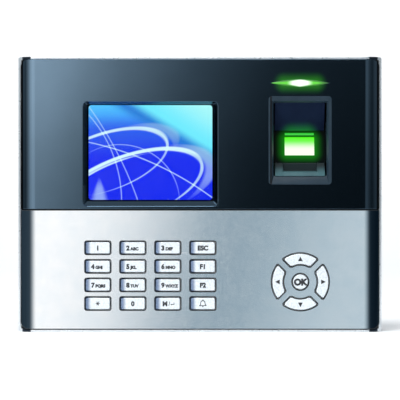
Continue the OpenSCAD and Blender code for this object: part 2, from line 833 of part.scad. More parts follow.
module usb_cover() {
    y0 = usb_y - 4.7;
    y1 = usb_y + 4.1;
    x0 = flap_hinge_x - 0.65;
    color("#15181b") {
        box(x0, x0 + 1.5, y0, y1, flap_hinge_z, usb_z + 8.6);
        translate([flap_hinge_x, y0, flap_hinge_z]) rotate([-90, 0, 0]) cylinder(h = y1 - y0, r = 0.65);
        box(x0 + 1.5, x0 + 2, y0 + 1, y1 - 1, usb_z + 6.8, usb_z + 7.6);
    }
}

module wall_plate() {
    color(STEEL) difference() {
        union() {
            slab(-plate_t, 0) rounded(plate_w, plate_z1 - plate_z0, 2, 0, (plate_z0 + plate_z1) / 2);
            for (side = [-1, 1]) {
                box(side * hook_x - 5, side * hook_x + 5, back_in - 1.6, -plate_t, hook_z, hook_z + 1.2);
                box(side * hook_x - 5, side * hook_x + 5, back_in - 1.6, back_in - 0.4, hook_z, hook_z + 5);
            }
            box(lock_x - 7, lock_x + 7, back_out + 0.2, -plate_t, plate_z0, plate_z0 + plate_t);
        }
        for (sx = [-1, 1], sz = [-1, 1])
            rod(sx * wall_screw_dx / 2, (plate_z0 + plate_z1) / 2 + sz * wall_screw_dz / 2, wall_screw_r, -5, 1);
        slab(-plate_t - 1, 1) rounded(50, 30, 3, -15, -31);
        translate([lock_x, lock_y, plate_z0 - 1]) cylinder(h = 5, r = 1.3);
    }
}

// --- Fasteners ---

// Pan-head screw pointing to -Y from the face its head sits on
module screw(x, z, y_face, head_r, head_h, shank_r, length) {
    difference() {
        union() {
            rod(x, z, head_r, y_face, y_face + head_h);
            rod(x, z, shank_r, y_face - length, y_face);
        }
        for (turn = [0, 90]) translate([x, y_face + head_h, z]) rotate([0, turn, 0])
            cube([2 * head_r * 0.62, head_h, 0.6], center = true);
    }
}

module housing_screws() {
    color(STEEL) for (p = case_screws) screw(p[0], p[1], parting + 4, 2.75, 2, 1.4, 9);
}

module board_screws() {
    color(STEEL) {
        for (p = key_screws) screw(p[0], p[1], key_board_back, 2.2, 1.6, 1.2, 4);
        for (p = main_screws) translate([0, 2 * board_front, 0]) mirror([0, 1, 0])
            screw(p[0], p[1], board_front, 2.2, 1.6, 1.2, 7);
    }
}

module security_screw() {
    head_z = plate_z0 - 0.5 - rim_wall;
    color(STEEL) difference() {
        union() {
            translate([lock_x, lock_y, head_z - 2]) cylinder(h = 2, r = 2.4);
            translate([lock_x, lock_y, head_z]) cylinder(h = 9, r = 1.25);
        }
        translate([lock_x, lock_y, head_z - 3]) cylinder(h = 2.2, r = 1.2, $fn = 6);
    }
}

wall_plate();
rear_housing();
front_housing();
upper_fascia();
lower_fascia();
display_window();
lcd_seal();
lcd_panel();
lcd_frame();
lcd_flex();
fingerprint_bezel();
finger_hood();
finger_rest();
sensor_housing();
sensor_prism();
sensor_camera();
sensor_leds();
sensor_board();
sensor_ribbon();
status_lens();
status_board();
keypad_mat();
key_board();
key_ribbon();
for (i = [0 : len(KEY_NAMES) - 1]) pad_key(i);
for (i = [0 : len(NAV_NAMES) - 1]) arrow_key(i);
ok_key();
main_board();
board_chips();
ethernet_socket();
power_jack();
terminal_block();
usb_socket();
usb_cover();
coin_cell();
speaker();
reset_switch();
reset_button();
housing_screws();
board_screws();
security_screw();
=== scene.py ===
import json
import math

import bmesh
import bpy
from mathutils import Matrix, Vector


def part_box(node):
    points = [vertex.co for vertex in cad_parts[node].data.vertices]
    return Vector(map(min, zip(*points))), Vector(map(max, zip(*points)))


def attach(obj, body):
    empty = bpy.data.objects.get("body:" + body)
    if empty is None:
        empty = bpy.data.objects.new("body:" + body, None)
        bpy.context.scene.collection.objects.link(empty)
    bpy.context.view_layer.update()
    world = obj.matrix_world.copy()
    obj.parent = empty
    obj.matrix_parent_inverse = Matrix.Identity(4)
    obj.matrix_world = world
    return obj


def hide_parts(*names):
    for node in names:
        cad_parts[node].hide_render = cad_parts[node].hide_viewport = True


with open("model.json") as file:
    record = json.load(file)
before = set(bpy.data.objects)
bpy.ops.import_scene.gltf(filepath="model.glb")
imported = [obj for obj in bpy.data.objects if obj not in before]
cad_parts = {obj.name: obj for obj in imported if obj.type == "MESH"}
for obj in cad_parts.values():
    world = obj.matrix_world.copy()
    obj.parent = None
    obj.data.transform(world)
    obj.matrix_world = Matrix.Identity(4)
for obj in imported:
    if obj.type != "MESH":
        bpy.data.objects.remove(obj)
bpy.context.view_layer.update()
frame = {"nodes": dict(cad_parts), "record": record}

# Camera. It faces the terminal squarely from a little over a metre, as on a copy stand,
# with a long lens so that the sides of the case hardly show.
mm = 0.001
case_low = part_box("front_housing")[0]
front_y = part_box("lower_fascia")[0].y
camera_distance = 1100 * mm
frame_width = 197.3 * mm
aim_depth, aim_height = 4 * mm, -2.8 * mm
aim = Vector((0, front_y + aim_depth, aim_height))

lens = bpy.data.cameras.new("camera")
lens.sensor_width = 36
lens.lens = lens.sensor_width * camera_distance / frame_width
lens.clip_start, lens.clip_end = 0.01, 50
camera = bpy.data.objects.new("camera", lens)
camera.location = aim - Vector((0, camera_distance, 0))
camera.rotation_euler = (math.radians(90), 0, 0)
bpy.context.scene.collection.objects.link(camera)
bpy.context.scene.camera = camera
bpy.context.scene.view_settings.view_transform = "Standard"


# Studio. A pale paper sweep carries the terminal on its lower edge and is lit by a lamp of
# its own. A soft box hangs high in front, and cards round the room shade what is glossy.
def into_scene(name, mesh):
    thing = bpy.data.objects.new(name, mesh)
    bpy.context.scene.collection.objects.link(thing)
    return thing


def smooth_mesh(name, shape):
    mesh = bpy.data.meshes.new(name)
    shape.to_mesh(mesh)
    shape.free()
    mesh.polygons.foreach_set("use_smooth", [True] * len(mesh.polygons))
    return mesh


sweep_side, sweep_front, sweep_depth, sweep_height, sweep_bend = 0.7, 0.45, 1.6, 1.4, 0.6
floor_z = case_low.z
paper = bmesh.new()
near_edge = [paper.verts.new((x, -sweep_front, floor_z)) for x in (-sweep_side, sweep_side)]
edge = paper.edges.new(near_edge)
back = bmesh.ops.extrude_edge_only(paper, edges=[edge])["geom"]
bmesh.ops.translate(paper, verts=[v for v in back if isinstance(v, bmesh.types.BMVert)],
                    vec=(0, sweep_front + sweep_depth, 0))
fold = [e for e in back if isinstance(e, bmesh.types.BMEdge)]
up = bmesh.ops.extrude_edge_only(paper, edges=fold)["geom"]
bmesh.ops.translate(paper, verts=[v for v in up if isinstance(v, bmesh.types.BMVert)],
                    vec=(0, 0, sweep_height))
bmesh.ops.bevel(paper, geom=fold, offset=sweep_bend, segments=24, profile=0.5,
                affect="EDGES", material=-1)
bmesh.ops.recalc_face_normals(paper, faces=paper.faces)
sweep = into_scene("paper_sweep", smooth_mesh("paper_sweep", paper))
paper_white = bpy.data.materials.new("paper_white")
paper_white.use_nodes = True
paper_shader = paper_white.node_tree.nodes["Principled BSDF"]
paper_shader.inputs["Base Color"].default_value = (0.88, 0.89, 0.9, 1)
paper_shader.inputs["Roughness"].default_value = 0.9
sweep.data.materials.append(paper_white)


def soft_box(name, place, target, width, height, power):
    light = bpy.data.lights.new(name, "AREA")
    light.shape = "RECTANGLE"
    light.size, light.size_y = width, height
    light.energy = power
    box = into_scene(name, light)
    box.location = place
    box.rotation_euler = (Vector(target) - Vector(place)).to_track_quat("-Z", "Y").to_euler()
    box.visible_camera = False


soft_box("soft_box_above", (-0.3, -0.75, 1.35), aim, 1.1, 0.7, 24)
soft_box("sweep_lamp", (0, 0.5, 1.5), (0, 1.6, 0.4), 1.4, 0.5, 9)

# The cards round the terminal: degrees to the right of the camera, brightness. Level with it a
# bright card on the left fades to a black flag in front and a grey card on the right. Above it,
# where the silver face looks, the left card is softer and a narrow dark strip comes before a grey one.
LEVEL_CARDS = [(-180, 0.6), (-90, 0.5), (-65, 0.2), (-35, 2.5), (-20, 3.3), (-5, 2.8), (-3, 1.1),
               (-1, 0.4), (1, 0.1), (5, 0.05), (10, 0.5), (20, 0.5), (50, 0.1), (180, 0.6)]
RAISED_CARDS = [(-180, 0.6), (-120, 0.3), (-90, 0.7), (-40, 1), (-7, 1.3), (-5, 1.1), (-3, 0.3),
                (-1.5, 0.3), (0, 0.75), (20, 0.6), (100, 0.1), (180, 0.6)]
# The ramps give most room to the cards within about this many degrees of the front.
CARD_SPREAD = 8
CARD_LEAN = -0.25
LOW_CARDS_DIMMING = 0.6
LEVEL_BLUENESS, RAISED_BLUENESS = 0.08, 0.33
# Heights of a direction, from 0 when level to 1 overhead, between which the rings change.
LOW_TO_LEVEL, LEVEL_TO_RAISED, RAISED_TO_CEILING = (0.0, 0.065), (0.075, 0.115), (0.35, 0.75)
room = bpy.data.worlds.new("room")
bpy.context.scene.world = room
room.use_nodes = True


def add_node(owner, kind, links=(), **values):
    """Adds a node to a finish or the room, with (output, input name) links and set values."""
    node = owner.node_tree.nodes.new(kind)
    for name, value in values.items():
        if name in node.bl_rna.properties:
            setattr(node, name, value)
        else:
            node.inputs[name.replace("_", " ")].default_value = value
    for output, socket in links:
        owner.node_tree.links.new(output, node.inputs[socket])
    return node


def maths(owner, operation, first, second=None, third=None, clamp=False):
    node = add_node(owner, "ShaderNodeMath", operation=operation, use_clamp=clamp)
    for socket, value in enumerate((first, second, third)):
        if isinstance(value, (int, float)):
            node.inputs[socket].default_value = value
        elif value is not None:
            owner.node_tree.links.new(value, node.inputs[socket])
    return node.outputs[0]


def fade(owner, value, start, end, low=0.0, high=1.0):
    """Runs smoothly from low to high as value goes from start to end."""
    node = add_node(owner, "ShaderNodeMapRange", [(value, "Value")],
                    interpolation_type="SMOOTHSTEP",
                    From_Min=start, From_Max=end, To_Min=low, To_Max=high)
    return node.outputs["Result"]


def blended(owner, amount, under, over):
    node = add_node(owner, "ShaderNodeMix", data_type="RGBA")
    for socket, value in ((0, amount), (6, under), (7, over)):
        if isinstance(value, tuple):
            node.inputs[socket].default_value = (*value, 1)
        else:
            owner.node_tree.links.new(value, node.inputs[socket])
    return node.outputs[2]


parts = add_node(room, "ShaderNodeSeparateXYZ",
                 [(add_node(room, "ShaderNodeTexCoord").outputs["Generated"], 0)]).outputs
azimuth = maths(room, "ARCTAN2", parts["X"], maths(room, "MULTIPLY", parts["Y"], -1))
leaning = maths(room, "MULTIPLY_ADD", parts["Z"], CARD_LEAN, azimuth)
crowded = maths(room, "ARCTANGENT", maths(room, "MULTIPLY", leaning, 1 / math.radians(CARD_SPREAD)))
ramp_end = math.atan(180 / CARD_SPREAD)
along_ramp = add_node(room, "ShaderNodeMapRange", [(crowded, "Value")],
                      From_Min=-ramp_end, From_Max=ramp_end).outputs["Result"]


def cards(levels, blueness):
    """The ring of cards as a ramp, its edges leaning to the right; dimmer cards are bluer."""
    ramp = add_node(room, "ShaderNodeValToRGB", [(along_ramp, "Fac")])
    stops = ramp.color_ramp.elements
    for turn, level in levels:
        place = 0.5 + 0.5 * math.atan(turn / CARD_SPREAD) / ramp_end
        if 0 < place < 1:
            stop = stops.new(place)
        else:
            stop = stops[0 if place == 0 else -1]
        stop.color = (level ** (1 + blueness), level, level ** (1 - blueness / 2), 1)
    return ramp.outputs["Color"]


def changing(start, end, lower, upper):
    """Goes from the lower colour to the upper as a direction's height goes from start to end."""
    return blended(room, fade(room, parts["Z"], start, end), lower, upper)


low_cards = cards([(turn, LOW_CARDS_DIMMING * level) for turn, level in LEVEL_CARDS], LEVEL_BLUENESS)
surroundings = changing(*LOW_TO_LEVEL, low_cards, cards(LEVEL_CARDS, LEVEL_BLUENESS))
surroundings = changing(*LEVEL_TO_RAISED, surroundings, cards(RAISED_CARDS, RAISED_BLUENESS))
surroundings = changing(*RAISED_TO_CEILING, surroundings, (0.42, 0.44, 0.46))
seen = add_node(room, "ShaderNodeLightPath").outputs["Is Camera Ray"]
backdrop = blended(room, seen, surroundings, (0.9, 0.91, 0.92))
room.node_tree.links.new(backdrop, room.node_tree.nodes["Background"].inputs["Color"])


# Wall plate. Zinc-plated steel sheet, laser cut and folded, with two hooks the case hangs
# on and a tab for the locking screw. It is screwed to the wall first.
def new_finish(name, colour, roughness, metallic=0.0, coat=0.0, ior=1.5):
    finish = bpy.data.materials.new(name)
    finish.use_nodes = True
    shader = finish.node_tree.nodes["Principled BSDF"]
    shader.inputs["Base Color"].default_value = (*colour, 1)
    shader.inputs["Roughness"].default_value = roughness
    shader.inputs["Metallic"].default_value = metallic
    shader.inputs["Coat Weight"].default_value = coat
    shader.inputs["IOR"].default_value = ior
    return finish


def shader_of(finish):
    return finish.node_tree.nodes["Principled BSDF"]


def to_shader(finish, output, socket):
    finish.node_tree.links.new(output, shader_of(finish).inputs[socket])


def place_in(finish):
    return add_node(finish, "ShaderNodeTexCoord").outputs["Object"]


def axes_in(finish):
    return add_node(finish, "ShaderNodeSeparateXYZ", [(place_in(finish), 0)]).outputs


def mottled(finish, low, high, scale, detail=3.0):
    """Colour that drifts between two near shades, as paint, plating and moulded resin do."""
    noise = add_node(finish, "ShaderNodeTexNoise", [(place_in(finish), "Vector")],
                     Scale=scale, Detail=detail)
    shades = add_node(finish, "ShaderNodeValToRGB", [(noise.outputs[0], "Fac")])
    shades.color_ramp.elements[0].position, shades.color_ramp.elements[1].position = 0.35, 0.65
    shades.color_ramp.elements[0].color = (*low, 1)
    shades.color_ramp.elements[1].color = (*high, 1)
    to_shader(finish, shades.outputs["Color"], "Base Color")
    return shades


def uneven_gloss(finish, low, high, scale):
    noise = add_node(finish, "ShaderNodeTexNoise", [(place_in(finish), "Vector")],
                     Scale=scale, Detail=4.0)
    span = add_node(finish, "ShaderNodeMapRange", [(noise.outputs[0], "Value")],
                    To_Min=low, To_Max=high)
    span.inputs["From Min"].default_value, span.inputs["From Max"].default_value = 0.3, 0.7
    to_shader(finish, span.outputs["Result"], "Roughness")


def grained(finish, scale, depth, strength=1.0):
    """Fine spark-eroded or sprayed grain, pressed into the surface as a bump of that depth."""
    noise = add_node(finish, "ShaderNodeTexNoise", [(place_in(finish), "Vector")],
                     Scale=scale, Detail=2.0)
    bump = add_node(finish, "ShaderNodeBump", [(noise.outputs[0], "Height")],
                    Strength=strength, Distance=depth)
    to_shader(finish, bump.outputs["Normal"], "Normal")
    return bump


def dress(piece, finish):
    piece.data.materials.clear()
    piece.data.materials.append(finish)


def clean_copy(node, flatness=0.4):
    """A CAD node's shape as one closed skin, its flat faces whole up to that many degrees."""
    shape = bmesh.new()
    shape.from_mesh(frame["nodes"][node].data)
    bmesh.ops.remove_doubles(shape, verts=shape.verts, dist=weld)
    bmesh.ops.dissolve_limit(shape, verts=shape.verts, edges=shape.edges,
                             angle_limit=math.radians(flatness))
    return shape


weld = 0.002 * mm
edge_angle = math.radians(28)
body_of = {n: b for b, nodes in frame["record"]["behaviour"]["bodies"].items() for n in nodes}


def fit_piece(shape, name, node, finish, edge=0.0, segments=2, stands_for=True):
    """Puts a shape in the scene on a CAD node's body, with its edges rounded."""
    mesh = smooth_mesh(name, shape)
    if "custom_normal" in mesh.attributes:
        mesh.attributes.remove(mesh.attributes["custom_normal"])
    piece = into_scene(name, mesh)
    dress(piece, finish)
    if edge == 0:
        mesh.set_sharp_from_angle(angle=edge_angle)
    else:
        rounding = piece.modifiers.new("rounded_edges", "BEVEL")
        rounding.width = edge
        rounding.segments = segments
        rounding.limit_method = "ANGLE"
        rounding.angle_limit = edge_angle
        rounding.use_clamp_overlap = False
        evening = piece.modifiers.new("even_flats", "WEIGHTED_NORMAL")
        evening.keep_sharp = True
    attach(piece, body_of[node])
    if stands_for:
        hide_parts(node)
    return piece


def finished(node, finish, edge, segments=2):
    return fit_piece(clean_copy(node), node + "_finished", node, finish, edge, segments)


zinc = new_finish("zinc_plate", (0.6, 0.62, 0.64), 0.38, metallic=1.0)
mottled(zinc, (0.53, 0.55, 0.57), (0.68, 0.7, 0.71), 260)
uneven_gloss(zinc, 0.3, 0.5, 700)
grained(zinc, 5000, 0.01 * mm)
finished("wall_plate", zinc, 0.15 * mm)

# Rear shell. Black ABS, moulded with a fine spark-eroded grain. It carries the boards on
# posts, holds the cable bay and is open where the plugs, the grille and the hooks pass.
black_grain = new_finish("black_grained_abs", (0.02, 0.021, 0.023), 0.55)
mottled(black_grain, (0.016, 0.017, 0.019), (0.027, 0.028, 0.031), 90)
uneven_gloss(black_grain, 0.48, 0.62, 900)
grained(black_grain, 3200, 0.05 * mm)
finished("rear_housing", black_grain, 0.35 * mm)

# Front shell. Pale grey ABS with a silver coat. Only its rim shows round the fascias; where they
# roll back it carries a painted dark reflection, and where they lie it is painted near-black as
# shade for the seams. Behind them it holds display, keys and sensor.
def painted_dark_sides(finish, colour, tint, start, softness, end=200 * mm):
    """A painted dark reflection in a soft-edged band down both sides, over the given colour."""
    off = maths(finish, "ABSOLUTE", axes_in(finish)["X"])
    share = maths(finish, "MULTIPLY", fade(finish, off, start, start + softness),
                  fade(finish, off, end, end - 0.8 * mm))
    dark_band_colour = blended(finish, share, colour, tint)
    to_shader(finish, dark_band_colour, "Base Color")
    return dark_band_colour


fascia_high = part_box("upper_fascia")[1]
seam_shade_margin = 0.3 * mm
dark_band_start, dark_band_softness, dark_band_end = 82.8 * mm, 0.8 * mm, 88 * mm
rim_silver = new_finish("rim_silver_paint", (0.78, 0.82, 0.85), 0.3, metallic=0.85)
rim_shades = mottled(rim_silver, (0.74, 0.785, 0.82), (0.82, 0.855, 0.88), 140)
# Painted dark reflection down both sides of the rim, where the fascias roll back.
rim_colour = painted_dark_sides(rim_silver, rim_shades.outputs["Color"], (0.02, 0.03, 0.045),
                          dark_band_start, dark_band_softness, dark_band_end)
rim_axes = axes_in(rim_silver)
rim_x = maths(rim_silver, "ABSOLUTE", rim_axes["X"])
rim_z = maths(rim_silver, "ABSOLUTE", rim_axes["Z"])
# Painted shade: near-black in the bed under the fascias, so the seams round them look dark.
seam_shade = maths(rim_silver, "MULTIPLY",
            fade(rim_silver, rim_x, fascia_high.x, fascia_high.x - seam_shade_margin),
            fade(rim_silver, rim_z, fascia_high.z, fascia_high.z - seam_shade_margin))
to_shader(rim_silver, blended(rim_silver, seam_shade, rim_colour, (0.006, 0.008, 0.01)), "Base Color")
uneven_gloss(rim_silver, 0.26, 0.34, 600)
grained(rim_silver, 9000, 0.004 * mm)
finished("front_housing", rim_silver, 0.2 * mm)

# Upper fascia. Black gloss polycarbonate laid into the front shell, rolled at both sides,
# with a bevelled funnel round the display and painted near-black shade where it meets the window.
gloss_black = new_finish("gloss_black", (0.07, 0.115, 0.16), 0.07, metallic=1.0)
black_shades = mottled(gloss_black, (0.068, 0.112, 0.156), (0.072, 0.118, 0.165), 60)
window_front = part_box("display_window")[0].y
black_depth = axes_in(gloss_black)["Y"]
# Painted shade: near-black in the last depth of the funnel, deep in the display recess.
throat_painted_shade = fade(gloss_black, black_depth, window_front - 0.8 * mm, window_front - 0.65 * mm)
black_colour = blended(gloss_black, throat_painted_shade, black_shades.outputs["Color"], (0.004, 0.006, 0.009))
to_shader(gloss_black, black_colour, "Base Color")
uneven_gloss(gloss_black, 0.066, 0.074, 500)
finished("upper_fascia", gloss_black, 0.14 * mm, 3)

# Lower fascia. The same moulding in silver metallic paint whose flakes lie tipped back a few
# degrees, with a painted dark reflection down its rolled sides; its edges and key hole walls are painted
# black as shade.
flake_tilt = math.radians(6.5)
roll_start, facing_front = 82 * mm, 0.9
silver = new_finish("silver_paint", (0.74, 0.82, 0.87), 0.1, metallic=1.0)
silver_shades = mottled(silver, (0.72, 0.805, 0.86), (0.76, 0.83, 0.875), 120)
# Painted dark reflection down the rolled sides of the silver fascia.
painted_dark_sides(silver, silver_shades.outputs["Color"], (0.03, 0.05, 0.07), 80.2 * mm, 3.8 * mm)
uneven_gloss(silver, 0.09, 0.11, 500)
silver_grain = grained(silver, 12000, 0.0025 * mm)
facing = add_node(silver, "ShaderNodeNewGeometry").outputs["Normal"]
tipped = add_node(silver, "ShaderNodeVectorMath", [(facing, 0)], operation="ADD")
tipped.inputs[1].default_value = (0, 0, math.tan(flake_tilt))
tipped = add_node(silver, "ShaderNodeVectorMath", [(tipped.outputs[0], 0)], operation="NORMALIZE")
silver.node_tree.links.new(tipped.outputs[0], silver_grain.inputs["Normal"])
# Painted shade: near-black finish for the fascia's edges, bevels and key hole walls.
hole_wall_shade = new_finish("hole_wall_painted_shade", (0.01, 0.014, 0.018), 0.45)
mottled(hole_wall_shade, (0.008, 0.012, 0.015), (0.012, 0.016, 0.021), 400)
lower_fascia = finished("lower_fascia", silver, 0.28 * mm, 3)
lower_fascia.data.materials.append(hole_wall_shade)
lower_fascia.modifiers["rounded_edges"].material = 1
for face in lower_fascia.data.polygons:
    if abs(face.normal.y) < facing_front and abs(face.center.x) < roll_start:
        face.material_index = 1

# Display window. Clear acrylic with an anti-glare coat, bonded behind the funnel on a foam
# seal.
clear = new_finish("clear_acrylic", (0.97, 0.985, 1.0), 0.03, ior=1.18)
shader_of(clear).inputs["Transmission Weight"].default_value = 1
uneven_gloss(clear, 0.02, 0.05, 300)
finished("display_window", clear, 0)

foam = new_finish("black_foam", (0.02, 0.02, 0.02), 0.95)
grained(foam, 6000, 0.06 * mm)
finished("lcd_seal", foam, 0.1 * mm)

# Display panel. A three-inch colour panel, lit from behind, showing its idle picture: light
# trails over a blue sky that clears towards the upper right.
window_margin = 1.5 * mm
panel_low, panel_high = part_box("display_window")
picture_mid = (panel_low + panel_high) / 2
picture_half = (panel_high.x - panel_low.x) / 2 - window_margin
lit = new_finish("lit_panel", (0.01, 0.01, 0.012), 0.3, ior=1.15)
picture_place = add_node(lit, "ShaderNodeMapping", [(place_in(lit), "Vector")])
picture_place.vector_type = "TEXTURE"
picture_place.inputs["Location"].default_value = (picture_mid.x, 0, picture_mid.z)
picture_place.inputs["Scale"].default_value = (picture_half, 1, picture_half)
picture_axes = add_node(lit, "ShaderNodeSeparateXYZ", [(picture_place.outputs[0], 0)])
across, upward = picture_axes.outputs["X"], picture_axes.outputs["Z"]


def sky_colour():
    lean = maths(lit, "MULTIPLY_ADD", across, 0.62, upward)
    colour = blended(lit, fade(lit, upward, -0.15, 0.4), (0.0, 0.016, 0.88), (0.012, 0.1, 0.85))
    colour = blended(lit, fade(lit, upward, 0.35, 0.8), colour, (0.07, 0.55, 1.0))
    colour = blended(lit, fade(lit, lean, 0.3, 0.52), colour, (0.01, 0.2, 0.7))
    colour = blended(lit, fade(lit, lean, 0.5, 0.72), colour, (0.16, 0.85, 1.0))
    return blended(lit, fade(lit, lean, 0.7, 1.35), colour, (0.4, 0.97, 0.96))


def trail(middle, radii, turn, width, start, end, strength):
    """A curved light trail: the edge of a tilted ellipse, thickest midway between two bearings."""
    dx = maths(lit, "SUBTRACT", across, middle[0])
    dz = maths(lit, "SUBTRACT", upward, middle[1])
    c, s = math.cos(math.radians(turn)), math.sin(math.radians(turn))
    along = maths(lit, "ADD", maths(lit, "MULTIPLY", dx, c), maths(lit, "MULTIPLY", dz, s))
    aside = maths(lit, "SUBTRACT", maths(lit, "MULTIPLY", dz, c), maths(lit, "MULTIPLY", dx, s))
    u, v = maths(lit, "DIVIDE", along, radii[0]), maths(lit, "DIVIDE", aside, radii[1])
    radius = maths(lit, "SQRT", maths(lit, "MULTIPLY_ADD", u, u, maths(lit, "MULTIPLY", v, v)))
    bearing = maths(lit, "ARCTAN2", v, u)
    off_edge = maths(lit, "ABSOLUTE", maths(lit, "SUBTRACT", radius, 1))
    middle_bearing, half_span = math.radians((start + end) / 2), math.radians((end - start) / 2)
    swing = maths(lit, "ABSOLUTE", maths(lit, "SUBTRACT", bearing, middle_bearing))
    body = fade(lit, swing, half_span, half_span * 0.3)
    thickness = maths(lit, "MULTIPLY_ADD", body, width * 0.75, width * 0.25)
    line = maths(lit, "DIVIDE", off_edge, maths(lit, "DIVIDE", thickness, min(radii)))
    return maths(lit, "MULTIPLY", maths(lit, "MULTIPLY", fade(lit, line, 1, 0.35), body), strength)


# middle, radii, turn of the long axis, half width, bearings of its ends, brightness
TRAILS = [
    ((-0.74, -0.16), (1.06, 0.46), 19, 0.032, -30, 150, 0.85),
    ((-0.74, -0.16), (1.06, 0.46), 19, 0.014, -125, 40, 0.5),
    ((-0.7, -0.13), (1.16, 0.47), 18, 0.05, -25, 75, 0.22),
    ((-0.33, -0.56), (1.22, 0.51), 19, 0.036, -25, 175, 1.1),
    ((-0.33, -0.6), (1.2, 0.5), 19, 0.02, 60, 160, 0.8),
    ((-0.33, -0.56), (1.22, 0.51), 19, 0.018, -80, 20, 0.6),
    ((-0.3, -0.56), (1.33, 0.58), 17, 0.06, -60, 65, 0.34),
    ((-0.5, -0.8), (0.97, 0.93), 0, 0.012, -25, 150, 0.35),
    ((-2.3, -0.8), (1.83, 2.0), 0, 0.013, -30, 75, 0.4),
    ((-5.87, -2.76), (6, 6), 0, 0.013, 0, 55, 0.4),
    ((-2.08, -4.92), (5.2, 5.2), 0, 0.014, 35, 95, 0.55),
]
glow = trail(*TRAILS[0])
for row in TRAILS[1:]:
    glow = maths(lit, "ADD", glow, trail(*row))
beam_width = maths(lit, "MAXIMUM", maths(lit, "MULTIPLY_ADD", upward, -0.37, -0.13), 0.01)
beam = maths(lit, "DIVIDE", maths(lit, "ABSOLUTE", maths(lit, "ADD", across, 0.83)), beam_width)
beam = maths(lit, "MULTIPLY", fade(lit, beam, 1.1, 0.3), fade(lit, upward, -0.38, -0.6, 0, 0.4))
glow = maths(lit, "ADD", glow, beam)
sky = sky_colour()
picture = blended(lit, maths(lit, "MINIMUM", glow, 1), sky, (0.68, 0.95, 1.0))
to_shader(lit, picture, "Emission Color")
shader_of(lit).inputs["Emission Strength"].default_value = 1
finished("lcd_panel", lit, 0)

# Display module's metal frame: tin-plated steel, pressed and folded round the panel. The shells
# of two sockets, the clock battery and the reset switch have the same bright plating.
tin = new_finish("tin_plate", (0.7, 0.71, 0.73), 0.3, metallic=1.0)
mottled(tin, (0.64, 0.65, 0.67), (0.75, 0.76, 0.78), 300)
uneven_gloss(tin, 0.22, 0.4, 900)
for node in ("lcd_frame", "ethernet_socket", "usb_socket", "coin_cell", "reset_switch"):
    finished(node, tin, 0.12 * mm)

# Flat cables. Amber polyimide film with copper tracks for the display, and white polyester
# film for the keys and the sensor; each is soldered or clamped at both ends.
amber_film = new_finish("amber_film", (0.55, 0.27, 0.05), 0.25)
white_film = new_finish("white_film", (0.75, 0.76, 0.78), 0.35)
for film, dark, light in ((amber_film, (0.42, 0.17, 0.03), (0.72, 0.4, 0.09)),
                          (white_film, (0.5, 0.52, 0.55), (0.82, 0.83, 0.85))):
    tracks = add_node(film, "ShaderNodeTexWave", [(place_in(film), "Vector")], Scale=300.0,
                      Distortion=0.0)
    tint = add_node(film, "ShaderNodeValToRGB", [(tracks.outputs["Fac"], "Fac")])
    tint.color_ramp.elements[0].position, tint.color_ramp.elements[1].position = 0.45, 0.55
    tint.color_ramp.elements[0].color, tint.color_ramp.elements[1].color = (*dark, 1), (*light, 1)
    to_shader(film, tint.outputs["Color"], "Base Color")
finished("lcd_flex", amber_film, 0)
for node in ("key_ribbon", "sensor_ribbon"):
    finished(node, white_film, 0)

# Circuit boards. Glass epoxy with green solder resist over copper tracks, routed to shape. Four
# screws hold the main board to the rear shell and six hold the key board to the front one.
resist = new_finish("green_resist", (0.02, 0.16, 0.07), 0.3)
tracks = add_node(resist, "ShaderNodeTexBrick", [(place_in(resist), "Vector")], Scale=180.0)
tracks.inputs["Color1"].default_value = (0.016, 0.14, 0.06, 1)
tracks.inputs["Color2"].default_value = (0.022, 0.17, 0.075, 1)
tracks.inputs["Mortar"].default_value = (0.05, 0.27, 0.13, 1)
to_shader(resist, tracks.outputs["Color"], "Base Color")
uneven_gloss(resist, 0.22, 0.36, 400)
for node in ("main_board", "key_board", "sensor_board", "status_board"):
    finished(node, resist, 0.1 * mm)

# Chips, camera, power jack and speaker: black moulded resin with a fine matt skin. All are
# soldered to their boards but the speaker, which sits in a ring inside the rear shell.
resin = new_finish("black_resin", (0.025, 0.025, 0.027), 0.5)
mottled(resin, (0.02, 0.02, 0.022), (0.034, 0.034, 0.037), 500)
grained(resin, 8000, 0.015 * mm)
for node in ("board_chips", "sensor_camera", "power_jack", "speaker"):
    finished(node, resin, 0.15 * mm)

# Wire terminals: green nylon, four square wire ways beside the slots of their spring clamps.
# The block is soldered to the main board and faces down into the cable bay.
nylon = new_finish("green_nylon", (0.05, 0.36, 0.12), 0.42)
mottled(nylon, (0.04, 0.32, 0.1), (0.065, 0.4, 0.14), 200)
finished("terminal_block", nylon, 0.15 * mm)

# Memory-stick flap: soft black rubber, hinged on its lower edge, with a lip for a fingernail.
# The reset plunger, a pin of black resin, slides behind the pinhole at the back.
rubber = new_finish("black_rubber", (0.022, 0.022, 0.023), 0.7)
mottled(rubber, (0.018, 0.018, 0.019), (0.032, 0.032, 0.034), 250)
grained(rubber, 4000, 0.03 * mm)
finished("usb_cover", rubber, 0.25 * mm)
finished("reset_button", resin, 0.15 * mm)

# Screws: nickel-plated steel with cross recesses, and a hexagon socket on the locking screw.
# They close the case, hold the main board and the key board, and lock the case to its plate.
nickel = new_finish("nickel_plate", (0.55, 0.55, 0.54), 0.3, metallic=1.0)
mottled(nickel, (0.48, 0.48, 0.47), (0.62, 0.62, 0.6), 600)
for node in ("housing_screws", "board_screws", "security_screw"):
    finished(node, nickel, 0.12 * mm)

# Key mat: one sheet of grey silicone with a raised collar round each key's stem, moulded whole.
# It lies on the key board and lifts each key back.
silicone = new_finish("grey_silicone", (0.32, 0.34, 0.36), 0.6)
mottled(silicone, (0.29, 0.31, 0.33), (0.35, 0.37, 0.39), 200)
finished("keypad_mat", silicone, 0.15 * mm)

# Keypad caps. Pearl-silver keys; each front falls away at its left end, where a blue-grey band
# of painted shade fades in, and its characters are printed in black.
cap_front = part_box("key_1")[0].y
flange_side = 1.1 * mm
band_width, band_solid, band_drop = 2.9 * mm, 0.8 * mm, 0.55 * mm
band_steps = 5


def key_mid(node):
    low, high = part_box(node)
    return Vector(((low.x + high.x) / 2, cap_front, (low.z + high.z) / 2))


